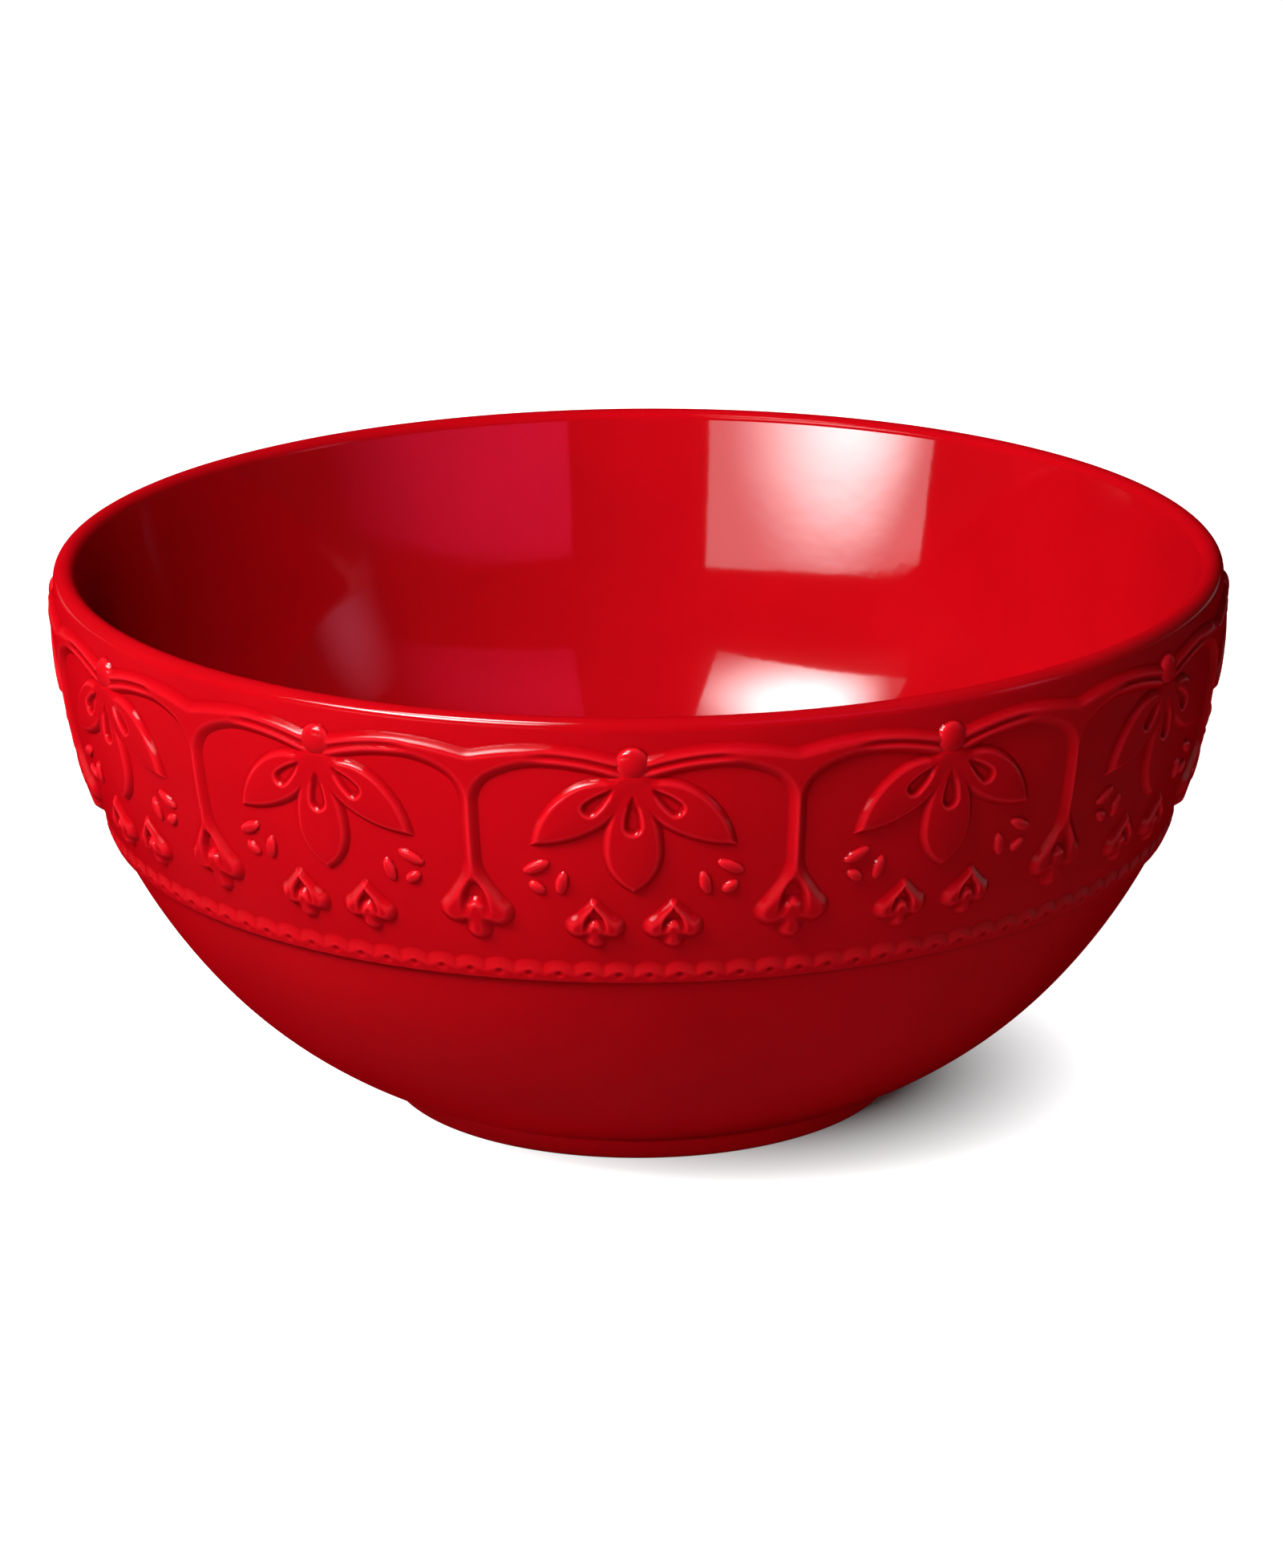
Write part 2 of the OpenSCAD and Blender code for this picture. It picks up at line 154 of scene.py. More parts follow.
def mix_colour(tree, factor, first, second):
    """A mix of two colours. Of the node's many sockets, inputs 6 and 7 and output 2 are the colours."""
    node = tree.nodes.new("ShaderNodeMix")
    node.data_type = "RGBA"
    tree.links.new(factor, node.inputs["Factor"])
    tree.links.new(first, node.inputs[6])
    tree.links.new(second, node.inputs[7])
    return node.outputs[2]


# Glaze tone: cloudy depth in the colour, darker in hollows as pooled glaze and painted shade, and paler over
# edges as thin glaze and painted highlight
cloud_scale = 30
cloud_span = (0.35, 0.75)
cloud_share = 0.3
pool_and_shade_span = (0, -0.8)
pool_and_shade_share = 0.8
thin_and_highlight_span = (0.05, 0.9)
thin_and_highlight_share = 0.55
tone, tone_in, tone_out = node_group(
    "glaze_tone",
    [("Body", "NodeSocketColor"), ("Deep", "NodeSocketColor"), ("Thin and highlight", "NodeSocketColor"),
     ("Bend", "NodeSocketFloat")],
    [("Colour", "NodeSocketColor")])
cloud = remap(tone, noise(tone, cloud_scale, detail=3), cloud_span, (0, cloud_share))
clouded = mix_colour(tone, cloud, tone_in["Body"], tone_in["Deep"])
# Hollows darken: partly glaze that pools, partly painted shade
pool_and_shade = remap(tone, tone_in["Bend"], pool_and_shade_span, (0, pool_and_shade_share))
pooled_and_shaded = mix_colour(tone, pool_and_shade, clouded, tone_in["Deep"])
# Edges pale: partly glaze that runs thin, partly painted highlight
run_off_and_highlight = remap(tone, tone_in["Bend"], thin_and_highlight_span, (0, thin_and_highlight_share))
tone.links.new(mix_colour(tone, run_off_and_highlight, pooled_and_shaded, tone_in["Thin and highlight"]), tone_out["Colour"])

# Glaze skin: the slow waves and fine peel of a fired gloss surface, and its small changes of polish
wave_scale = 34
peel_scale = 260
peel_share = 0.12
polish_scale = 70
polish_span = (0.3, 0.7)
polish_range = (0.05, 0.11)
skin_group, _, skin_out = node_group(
    "glaze_skin", [], [("Height", "NodeSocketFloat"), ("Roughness", "NodeSocketFloat")])
waves = skin_group.nodes.new("ShaderNodeMath")
waves.operation = "MULTIPLY_ADD"
waves.inputs[1].default_value = peel_share
skin_group.links.new(noise(skin_group, peel_scale, detail=2), waves.inputs[0])
skin_group.links.new(noise(skin_group, wave_scale, detail=1), waves.inputs[2])
skin_group.links.new(waves.outputs["Value"], skin_out["Height"])
roughness = remap(skin_group, noise(skin_group, polish_scale, detail=4), polish_span, polish_range)
skin_group.links.new(roughness, skin_out["Roughness"])

# Glaze: the coat shines where a piece's gloss mark says, and fades where the surface is seen edge-on
least_gloss = 0.012
edge_fade = (0.5, 0.8)
wave_h = 0.00006


def glaze(name, body, deep, thin_and_highlight):
    """A gloss glaze of three colours: its body, a deeper one in clouds and in hollows, where it is pooled
    glaze and painted shade, and a paler one on edges, where it is thin glaze and painted highlight.
    """
    material = bpy.data.materials.new(name)
    material.use_nodes = True
    tree = material.node_tree
    shader = tree.nodes["Principled BSDF"]
    shader.inputs["Specular IOR Level"].default_value = 0
    shader.inputs["Coat IOR"].default_value = 1.5
    shader.inputs["Coat Roughness"].default_value = 0.05
    colour = tree.nodes.new("ShaderNodeGroup")
    colour.node_tree = tone
    for label, value in (("Body", body), ("Deep", deep), ("Thin and highlight", thin_and_highlight)):
        colour.inputs[label].default_value = (*value, 1)
    bend = tree.nodes.new("ShaderNodeAttribute")
    bend.attribute_name = "bend"
    tree.links.new(bend.outputs["Fac"], colour.inputs["Bend"])
    gloss = tree.nodes.new("ShaderNodeAttribute")
    gloss.attribute_name = "gloss"
    edge_on = tree.nodes.new("ShaderNodeLayerWeight")
    edge_on.inputs["Blend"].default_value = 0.5
    coat = tree.nodes.new("ShaderNodeMath")
    coat.operation = "MULTIPLY"
    tree.links.new(remap(tree, gloss.outputs["Fac"], (0, 1), (least_gloss, 1)), coat.inputs[0])
    tree.links.new(remap(tree, edge_on.outputs["Facing"], edge_fade, (1, 0)), coat.inputs[1])
    tree.links.new(coat.outputs["Value"], shader.inputs["Coat Weight"])
    surface = tree.nodes.new("ShaderNodeGroup")
    surface.node_tree = skin_group
    bump = tree.nodes.new("ShaderNodeBump")
    bump.inputs["Strength"].default_value = 1
    bump.inputs["Distance"].default_value = wave_h
    tree.links.new(surface.outputs["Height"], bump.inputs["Height"])
    tree.links.new(bump.outputs["Normal"], shader.inputs["Normal"])
    tree.links.new(bump.outputs["Normal"], shader.inputs["Coat Normal"])
    tree.links.new(surface.outputs["Roughness"], shader.inputs["Roughness"])
    tree.links.new(colour.outputs["Colour"], shader.inputs["Base Color"])
    return material


red_glaze = glaze("red_glaze", body=(0.335, 0.0011, 0.0038), deep=(0.19, 0.0005, 0.0015),
                  thin_and_highlight=(0.62, 0.010, 0.018))

# The heel's arc leaves the ball smoothly and ends on the foot's upper edge
heel_normal = toward(-heel_turn)
heel_start = belly_c + side_r * heel_normal
to_foot = np.array([foot_r, foot_h]) - heel_start
heel_r = -(to_foot @ to_foot) / (2 * to_foot @ heel_normal)
heel_c = heel_start - heel_r * heel_normal
heel_end = angle_of(foot_r - heel_c[0], foot_h - heel_c[1])

# The flare is a wide arc, which the inner ball touches from within and the lip's round from outside
lip_c = np.array([rim_r - lip_r, bowl_h - lip_r])
inner_r = side_r - wall_t
lip_far = math.hypot(lip_c[0], lip_c[1] - belly_z)
flare_far = flare_r - inner_r
flare_turn = math.acos((lip_far ** 2 + flare_far ** 2 - (flare_r + lip_r) ** 2) / (2 * lip_far * flare_far))
flare_low = 180 - angle_of(lip_c[0], lip_c[1] - belly_z) - math.degrees(flare_turn)
flare_c = belly_c + flare_far * toward(180 - flare_low)
flare_high = -angle_of(*(lip_c - flare_c))

# The bend is the arc between the inner ball and the flat floor
floor_edge = foot_r - foot_w - floor_in
floor_drop = belly_z - floor_z
bend_r = (inner_r ** 2 - floor_drop ** 2 - floor_edge ** 2) / (2 * (inner_r - floor_drop))
bend_c = np.array([floor_edge, floor_z + bend_r])
bend_start = angle_of(bend_c[0], bend_c[1] - belly_z)

axis_gap = 0.5
wall_step = 2.0
frieze_step = 0.8
lip_step = 0.3
outside = np.vstack([
    [[axis_gap, recess_z], [foot_r - foot_w, recess_z], [foot_r - foot_w, foot_h]],
    arc(heel_c, heel_r, heel_end, -heel_turn, wall_step)[:-1],
    arc(belly_c, side_r, -heel_turn, 0, frieze_step)])
lip = arc(lip_c, lip_r, 0, 180 - flare_high, lip_step)
inside = np.vstack([
    arc(flare_c, flare_r, -flare_high, -flare_low, wall_step)[:-1],
    arc(belly_c, inner_r, -flare_low, bend_start, wall_step)[:-1],
    arc(bend_c, bend_r, bend_start, -90, wall_step),
    [[axis_gap, floor_z]]])
body_rows = turned(np.vstack([outside, lip, inside]))

# The lip is wettest on its outer shoulder, and the inside is wet all over
lip_turns = [0, 17, 25, 50, 75, 155, 168]
lip_wet = [0, 0, 1, 1, 0.1, 0.1, 1]
lip_gloss = np.interp(np.linspace(0, 180 - flare_high, len(lip)), lip_turns, lip_wet)
body_gloss = np.concatenate([np.zeros(len(outside)), lip_gloss, np.ones(len(inside))])
lace_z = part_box("lace_edge")[0].z / MM
# Under the lace strip a band of painted shade, passed to the glaze as if the wall bent into a hollow there
painted_shade_below = 0.6
painted_shade_w = 0.8
lace_painted_shadow = np.exp(-((outside[:, 1] - lace_z + painted_shade_below) / painted_shade_w) ** 2)
body_painted_shade = np.concatenate([-lace_painted_shadow, np.zeros(len(lip) + len(inside))])
bowl_body = piece("bowl_body_glazed", body_rows, skin(body_rows, closed=False), red_glaze,
                  bend=np.tile(body_painted_shade, (turns, 1)), gloss=np.tile(body_gloss, (turns, 1)))
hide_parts("bowl_body")

# Foot ring
# A low ring of the same clay, luted under the base with a soft fillet of slip on both sides.
# It is glazed down to its rounded edges, and the rim it stands on is wiped bare before firing.
foot_round = 1.4
slip_r = 1.6
foot_inner_r = foot_r - foot_w
recess_sunk = 0.3
heel_sunk = 1.2
slip_x = foot_r + slip_r
slip_c = [slip_x, heel_c[1] - math.sqrt((heel_r + slip_r) ** 2 - (slip_x - heel_c[0]) ** 2)]
recess_c = [foot_inner_r - slip_r, recess_z - slip_r]
sunk_z = recess_z + recess_sunk
foot_section = np.vstack([
    arc(recess_c, slip_r, 90, 0, lip_step),
    arc([foot_inner_r + foot_round, foot_round], foot_round, 180, 270, lip_step),
    arc([foot_r - foot_round, foot_round], foot_round, -90, 0, lip_step),
    arc(slip_c, slip_r, 180, angle_of(heel_c[0] - slip_c[0], heel_c[1] - slip_c[1]), lip_step),
    [[foot_r, foot_h + heel_sunk], [foot_inner_r, sunk_z], [foot_inner_r - slip_r, sunk_z]]])
foot_rows = turned(foot_section)
# The foot's glaze is the red glaze made lighter, as painted light on the foot, which stands in the bowl's
# shade
foot_glaze = glaze("foot_glaze", body=(0.54, 0.0018, 0.006), deep=(0.40, 0.001, 0.0035),
                   thin_and_highlight=(0.58, 0.008, 0.016))
bare_clay = (0.55, 0.43, 0.33)
bare_z = 0.0004
sand_shade = 0.7
sand_scale = 900
clay_roughness = 0.85


def bare_rim(material):
    """Wipes the glaze off the face that the bowl stands on, so that the sandy clay shows."""
    tree = material.node_tree
    shader = tree.nodes["Principled BSDF"]
    place = tree.nodes.new("ShaderNodeTexCoord")
    height = tree.nodes.new("ShaderNodeSeparateXYZ")
    tree.links.new(place.outputs["Object"], height.inputs["Vector"])
    wiped = remap(tree, height.outputs["Z"], (bare_z, bare_z / 2), (0, 1))
    sand = tree.nodes.new("ShaderNodeValToRGB")
    sand.color_ramp.elements[0].color = (*[sand_shade * part for part in bare_clay], 1)
    sand.color_ramp.elements[1].color = (*bare_clay, 1)
    tree.links.new(noise(tree, sand_scale, detail=4), sand.inputs["Fac"])
    glazed = shader.inputs["Base Color"].links[0].from_socket
    polish = shader.inputs["Roughness"].links[0].from_socket
    tree.links.new(mix_colour(tree, wiped, glazed, sand.outputs["Color"]), shader.inputs["Base Color"])
    dull = tree.nodes.new("ShaderNodeMix")
    dull.inputs["B"].default_value = clay_roughness
    tree.links.new(wiped, dull.inputs["Factor"])
    tree.links.new(polish, dull.inputs["A"])
    tree.links.new(dull.outputs["Result"], shader.inputs["Roughness"])


bare_rim(foot_glaze)
foot_ring = piece("foot_ring_glazed", foot_rows, skin(foot_rows, closed=True), foot_glaze)
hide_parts("foot_ring")

# Lace edge
# A pressed strip of clay that closes the frieze, with a row of round scallops over a row of eyelets.
# Its lower edge stands off the wall as a clean step, and the glaze softens everything else.
lace_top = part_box("lace_edge")[1].z / MM
lace_ring = math.sqrt(side_r ** 2 - (lace_z - belly_z) ** 2)
lace_rise = 1.0
lace_hem = 0.3
step_w = 0.15
scallops = 120
scallop_rise = 1.1
scallop_power = 2.2
scallop_w = 2.6
eyelet_z = lace_z + 1.9
eyelet_r = 0.5
eyelet_share = 0.4
eyelet_w = 0.5
eyelet_hem = 0.6
lace_columns = 16
lace_rows = 26
lace_wet = 0.1
plain_h = 1.5
back_sink = 0.6
hem_sink = 0.05


def on_wall(turn, z, rise):
    """Points on the ball of the wall at a turn from the front, in radians, and a height, raised off it."""
    low = z - belly_z
    ring = np.sqrt(side_r ** 2 - low ** 2)
    lift = 1 + rise / side_r
    return np.stack([lift * ring * np.sin(turn), -lift * ring * np.cos(turn), belly_z + lift * low], axis=-1)


def soft(distance, edge, hem):
    """One smooth step from 0 at the hem outside an outline to 1 at the edge's width inside it."""
    share = np.clip((hem - distance) / (hem + edge), 0, 1)
    return share * share * (3 - 2 * share)


# A surface whose slope changes by this much in a millimetre counts as a full ridge or hollow
full_curve = 2.0


def bend_of(rise, across, up):
    """How sharply a raised surface turns over an edge, from -1 in a hollow to 1 on a ridge."""
    slope_up = np.gradient(rise, axis=0) / up
    slope_across = np.gradient(rise, axis=1) / across
    curve = np.gradient(slope_up, axis=0) / up + np.gradient(slope_across, axis=1) / across
    return np.clip(-curve / full_curve, -1, 1)


# A shoulder is dull up to the first slope and fully wet from the second, and a hollow of this bend is dull
dull_slope = 0.25
wet_slope = 0.875
dull_bend = 0.25


def gloss_of(rise, up, bend, most):
    """How wet a raised surface looks: most on the rounded shoulders that face up, and dull in the hollows."""
    fall = -np.gradient(rise, axis=0) / up
    facing = np.clip((fall - dull_slope) / (wet_slope - dull_slope), 0, 1)
    return most * facing * np.clip(1 + bend / dull_bend, 0, 1)


lace_turn = np.arange(scallops * lace_columns) / (scallops * lace_columns) * 2 * math.pi
phase = 2 * np.abs((lace_turn * scallops / (2 * math.pi)) % 1 - 0.5)
scallop_top = lace_top - scallop_rise * phase ** scallop_power
lace_low = lace_z - lace_hem
lace_up = lace_low + np.linspace(0, 1, lace_rows)[:, None] * (scallop_top + lace_hem - lace_low)
from_eyelet = phase * math.pi / scallops * lace_ring
in_eyelet = np.hypot(from_eyelet, lace_up - eyelet_z) - eyelet_r
step = soft(lace_z - lace_up, step_w, lace_hem)
shoulder = soft(lace_up - scallop_top, scallop_w, lace_hem)
lace_height = lace_rise * (step * shoulder - eyelet_share * soft(in_eyelet, eyelet_w, eyelet_hem)) - hem_sink
cell_up = (lace_up[-1] - lace_up[0]) / (lace_rows - 1)
lace_bend = bend_of(lace_height, 2 * math.pi / len(lace_turn) * lace_ring, cell_up)
lace_bend *= np.clip((lace_up - lace_z) / plain_h, 0, 1)
lace_front = on_wall(lace_turn, lace_up, lace_height)
lace_back = on_wall(lace_turn, lace_up, np.full_like(lace_up, -back_sink))
lace_loops = np.concatenate([lace_front, lace_back[::-1]]).swapaxes(0, 1)
lace_marks = {"bend": lace_bend, "gloss": gloss_of(lace_height, cell_up, lace_bend, lace_wet)}
lace_marks = {mark: np.concatenate([front, 0 * front]).swapaxes(0, 1) for mark, front in lace_marks.items()}
lace_edge = piece("lace_edge_glazed", lace_loops, skin(lace_loops, closed=True), red_glaze, **lace_marks)
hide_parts("lace_edge")

# Arch stems
# Twelve sprigs pressed in moulds and luted on with slip, each a post with two arms that arch out to meet
# its neighbours. The arms carry two soft ridges with a groove between, and the post ends in a drop of two
# legs and a bud.
repeats = 12
pitch = 2 * math.pi / repeats
crown_z = bowl_h - 7.6
crown_ring = math.sqrt(side_r ** 2 - (crown_z - belly_z) ** 2)
half_pitch = crown_ring * math.sin(pitch / 2)
arm_end = half_pitch - 3.2
arm_h = 4.6
arm_lift = 0.5
crest_x = arm_end / 2
crest_rise = 2.05
crest_z = crown_z + arm_lift + crest_rise
crest_slope = 0.97
hub_fall = 2.5
window_z = crest_z - arm_h
post_r = 1.6
post_round = 1.0
shoulder_r = 20.0
corner_r = 7.0
drop_z = crown_z - 34.6
drop_tip = (0, crown_z - 25.2, 1.3)
drop_lobe = (4.3, drop_z, 3.0)
drop_bud = (0, drop_z - 4.3, 2.5)
drop_hood = {"foot": drop_z - 1.0, "reach": 2.3, "rise": 5.9, "width": 0.5, "edge": 0.8}
post_end_z = drop_z + 5.5
hood_share = 0.8
stem_rise = 1.5
stem_round = 2.0
stem_wet = 0.55
groove = 0.75
groove_w = 0.3
groove_from = 14
groove_fade = 3
hub_r = 3.0
hub_sunk = 0.3
hub_soft = 1.5
seam = 0.1
hem = 0.5
hem_power = 1.4
cell = 0.3
stem_below = 8
frieze_over = 1.5


def blend(first, second, reach):
    """The smaller of two distances, rounded where they meet within a reach."""
    share = np.clip(0.5 + (second - first) / (2 * reach), 0, 1)
    return second + (first - second) * share - reach * share * (1 - share)


def along_line(x, z, start, end):
    """Places measured along and across the line from a start to an end, and the line's length."""
    length = math.dist(start, end)
    aim = ((end[0] - start[0]) / length, (end[1] - start[1]) / length)
    along = (x - start[0]) * aim[0] + (z - start[1]) * aim[1]
    across = np.abs((x - start[0]) * aim[1] - (z - start[1]) * aim[0])
    return along, across, length


def limb(x, z, start, end, start_r, end_r):
    """Distance to a round-ended limb whose half width grows steadily from one end to the other."""
    along, across, length = along_line(x, z, start, end)
    lean = (start_r - end_r) / length
    level = math.sqrt(1 - lean ** 2)
    reach = level * along - lean * across
    flank = level * across + lean * along - start_r
    near_start = np.hypot(across, along) - start_r
    near_end = np.hypot(across, along - length) - end_r
    return np.where(reach < 0, near_start, np.where(reach > level * length, near_end, flank))


def plaque(form, low, high, size, wet):
    """A closed plaque over a grid between two corners: its places and rises, its marks and its faces.

    The form gives each place's distance outside the outline and its rise. Border points lie on the hem.
    Its shoulders shine by the share that wet gives.
    """
    columns = np.arange(math.ceil((high[0] - low[0]) / size) + 1) * size + low[0]
    rows = np.arange(math.ceil((high[1] - low[1]) / size) + 1) * size + low[1]
    x, z = np.meshgrid(columns, rows)
    distance, rise = form(x, z)
    bend = bend_of(rise, size, size)
    marks = {"bend": bend, "gloss": gloss_of(rise, size, bend, wet)}
    inside = distance < hem
    kept = inside[:-1, :-1] | inside[:-1, 1:] | inside[1:, :-1] | inside[1:, 1:]
    up, across = np.gradient(distance, size)
    steepness = np.maximum(up ** 2 + across ** 2, 0.25)
    past = np.clip(distance - hem, 0, 2 * size) / steepness
    x = x - past * across
    z = z - past * up
    rise = form(x, z)[1] - hem_sink
    index = np.arange(x.size).reshape(x.shape)
    corners = (index[:-1, :-1], index[:-1, 1:], index[1:, 1:], index[1:, :-1])
    front = np.stack(corners, axis=-1)[kept]
    around = np.pad(kept, 1)
    beside = (around[:-2, 1:-1], around[1:-1, 2:], around[2:, 1:-1], around[1:-1, :-2])
    sides = []
    for side in range(4):
        rim = kept & ~beside[side]
        first = corners[side][rim]
        second = corners[(side + 1) % 4][rim]
        sides.append(np.stack([second, first, first + x.size, second + x.size], axis=-1))
    faces = np.concatenate([front, front[:, ::-1] + x.size] + sides)
    used, faces = np.unique(faces, return_inverse=True)
    place = np.concatenate([np.stack([x, z, rise], axis=-1).reshape(-1, 3),
                            np.stack([x, z, np.full_like(x, -back_sink)], axis=-1).reshape(-1, 3)])[used]
    marks = {mark: np.append(values.ravel(), np.zeros(x.size))[used] for mark, values in marks.items()}
    return place, marks, faces.reshape(-1, 4)


def seated(place, turn):
    """A plaque's places laid on the wall, with its own axis at a turn from the front."""
    ring = np.sqrt(side_r ** 2 - (place[:, 1] - belly_z) ** 2)
    return on_wall(np.arcsin(place[:, 0] / ring) + turn, place[:, 1], place[:, 2])


def puffed(distance, width):
    """A cushion's share of its full rise: a soft hem, then one round curve up to a width inside."""
    inward = np.clip((hem - distance) / (hem + width), 0, 1) ** hem_power
    return inward * (2 - inward)


def window(x, z):
    """Distance outside the round-topped window beside the post, for places right of the post's axis."""
    span = np.maximum(x - crest_x, 0)
    fall = z - window_z + hub_fall * (span / (arm_end - crest_x)) ** 2
    shoulder = np.hypot(x - crest_x, z - window_z + shoulder_r) - shoulder_r
    corner_x = post_r + corner_r
    inner = shoulder_r - corner_r
    corner_z = window_z - shoulder_r + math.sqrt(inner ** 2 - (crest_x - corner_x) ** 2)
    corner = np.hypot(x - corner_x, z - corner_z) - corner_r
    turn = np.arctan2(z - corner_z, x - corner_x)
    in_corner = (turn > math.pi / 2 + math.asin((crest_x - corner_x) / inner)) & (x < corner_x)
    arch = np.where(x > crest_x, fall, np.where(z > window_z - shoulder_r, shoulder, post_r - x))
    return np.where(in_corner, corner, np.maximum(post_r - x, arch))


# A trefoil's lobes join in a core a little over them, and round blends join its legs, stalk and post
core_lift = 0.3
stalk_share = 0.8
leg_blend = 1.0
stalk_blend = 1.3
post_blend = 1.8
hood_gain = 1.3


def trefoil(x, z, tip, lobe, bud, post):
    """Distance to a trefoil whose two legs grow out of a post and end in lobes, with a bud under them.

    Its points are given as (off axis, height, radius).
    """
    side = np.abs(x)
    leg = limb(side, z, tip[:2], lobe[:2], tip[2], lobe[2])
    core = limb(side, z, (0, lobe[1] + core_lift), lobe[:2], lobe[2], lobe[2])
    stalk = limb(x, z, (0, lobe[1]), bud[:2], stalk_share * lobe[2], bud[2])
    return blend(blend(blend(leg, core, leg_blend), stalk, stalk_blend), post, post_blend)


def hood(x, z, foot, reach, rise, width, edge):
    """Share of depth of the groove that runs over the mound of a trefoil like a hood, deepest at its top.

    It rises over a reach to both sides from the height of its feet, and has soft edges of a given width.
    """
    up = (z - foot) / rise
    off = np.abs(np.hypot(x / reach, up) - 1) * min(reach, rise)
    return soft(off - width, width, edge) * np.clip(hood_gain * up, 0, 1)


def stem_form(x, z):
    """Distance outside a stem, cut at the seams with its neighbours, and its rise."""
    side = np.abs(x)
    dip = np.sqrt(x ** 2 + post_round ** 2) - crest_x
    top = crest_slope * (z - crest_z + crest_rise * (dip / crest_x) ** 2)
    below = -window(side, z)
    frame_d = np.maximum(np.maximum(top, below), post_end_z - z)
    body_d = trefoil(x, z, drop_tip, drop_lobe, drop_bud, frame_d)
    middle = (top - below) / np.maximum(np.abs(top) + np.abs(below), 0.1)
    in_arm = soft(groove_from - side, groove_fade, groove_fade) * np.exp(-(middle / groove_w) ** 2)
    rise = stem_rise * (puffed(body_d, stem_round) - hood_share * hood(x, z, **drop_hood))
    rise = rise - groove * in_arm * (frame_d < 0)
    at_hub = soft(np.hypot(side - half_pitch, z - crown_z + hub_r) - hub_r, hub_soft, hub_soft)
    return np.maximum(body_d, side - half_pitch + hem - seam), rise * (1 - hub_sunk * at_hub)


stem_low = (-math.ceil(half_pitch / cell) * cell, drop_z - stem_below)
stem_high = (half_pitch + 2 * cell, crest_z + frieze_over)
stem_place, stem_marks, stem_faces = plaque(stem_form, stem_low, stem_high, cell, stem_wet)
for count in range(repeats):
    label = f"arch_stem_{count + 1:02d}"
    stem = piece(label + "_glazed", seated(stem_place, (count - 0.5) * pitch), stem_faces.tolist(), red_glaze,
                 **stem_marks)
    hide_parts(label)

# Lotus flowers
# Twelve sprigs that hang from the arches, each with a middle petal between two leaning ones.
# They are flat low plates with rolled edges, and each petal has a drop-shaped eye sunk nearly to the wall.
root_z = crown_z - 6.1
middle_petal = {"lean": 0, "length": 23.0, "wide": 13.6, "half_widths": (5.9, 5.9), "root_w": 2.2,
                "eye": ((0, 1.7), (0, 8.1), 1.75)}
right_petal = {"lean": 58, "length": 24.0, "wide": 10.5, "half_widths": (6.5, 3.9), "root_w": 0.6,
               "eye": ((1.9, 3.4), (0.9, 9.5), 1.6)}
left_petal = {"lean": -58, "length": 24.0, "wide": 10.5, "half_widths": (3.9, 6.5), "root_w": 0.6,
              "eye": ((-1.9, 3.4), (-0.9, 9.5), 1.6)}
petal_rise = 1.45
petal_blend = 0.5
petal_wet = 0.6
roll_share = 0.8
roll_w = 1.2
crown_w = 4.5
eye_depth = 0.7
eye_w = 0.9
eye_hem = 0.4
collar_z = root_z + 1.0
collar_w = 1.4
collar_r = 2.3
collar_blend = 1.8
collar_plain = 4.5
fade_z = root_z + 3.2
fade_w = 1.2
fade_hem = 1.6
flower_reach = 24.0
flower_below = 25
petal_cell = 0.25


def sag_radius(run, sag):
    """Radius of the arc that falls by a sag over a run."""
    return (run ** 2 + sag ** 2) / (2 * sag)


def leaf(along, across, length, wide, half_widths, root_w):
    """Distance to a pointed leaf along an axis, widest a given way along.

    It has its own half width on each side, and another at its root.
    """
    edges = [-along]
    for side, half_w in zip((1, -1), half_widths):
        radius = np.where(along < wide, sag_radius(wide, half_w - root_w), sag_radius(length - wide, half_w))
        edges.append(np.hypot(along - wide, side * across - half_w + radius) - radius)
    return np.maximum(np.maximum(edges[0], edges[1]), edges[2])


def drop(x, z, point, end, end_r):
    """Distance to a drop with round flanks, from its point to its blunt end."""
    along, across, length = along_line(x, z, point, end)
    share = np.clip(along / length, 0, 1)
    past = along - share * length
    return np.where(past > 0, np.hypot(across, past), across - past) - end_r * share * (2 - share)


def petal(x, z, lean, length, wide, half_widths, root_w, eye):
    """Distances to a petal that leans from the upright by an angle, and to its eye.

    The eye is a drop. Its point and its blunt end are given by how far they lie to the right of the
    petal's axis and along it, and the end has a radius.
    """
    turn = math.radians(lean)
    along = -(z - root_z) * math.cos(turn) + x * math.sin(turn)
    across = x * math.cos(turn) + (z - root_z) * math.sin(turn)
    return leaf(along, across, length, wide, half_widths, root_w), drop(across, along, *eye)


def flower_form(x, z):
    """Distance outside a flower, and its rise, which fades out towards the bead."""
    middle, middle_eye = petal(x, z, **middle_petal)
    right, right_eye = petal(x, z, **right_petal)
    left, left_eye = petal(x, z, **left_petal)
    collar = limb(x, z, (-collar_w, collar_z), (collar_w, collar_z), collar_r, collar_r)
    plate = blend(blend(middle, right, petal_blend), left, petal_blend)
    whole = blend(plate, collar, collar_blend)
    eye = np.minimum(np.minimum(middle_eye, right_eye), left_eye)
    plump = roll_share * puffed(whole, roll_w) + (1 - roll_share) * puffed(whole, crown_w)
    plump = plump - eye_depth * soft(eye, eye_w, eye_hem)
    return whole, petal_rise * plump * soft(z - fade_z, fade_w, fade_hem)


flower_low = (-flower_reach, root_z - flower_below)
flower_high = (flower_reach, crown_z + frieze_over)
flower_place, flower_marks, flower_faces = plaque(flower_form, flower_low, flower_high, petal_cell, petal_wet)
from_collar = np.hypot(flower_place[:, 0], flower_place[:, 1] - collar_z)
off_collar = np.clip(from_collar - collar_plain, 0, 1)
flower_marks = {mark: values * off_collar for mark, values in flower_marks.items()}
for count in range(repeats):
    label = f"lotus_flower_{count + 1:02d}"
    flower = piece(label + "_glazed", seated(flower_place, count * pitch), flower_faces.tolist(), red_glaze,
                   **flower_marks)
    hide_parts(label)

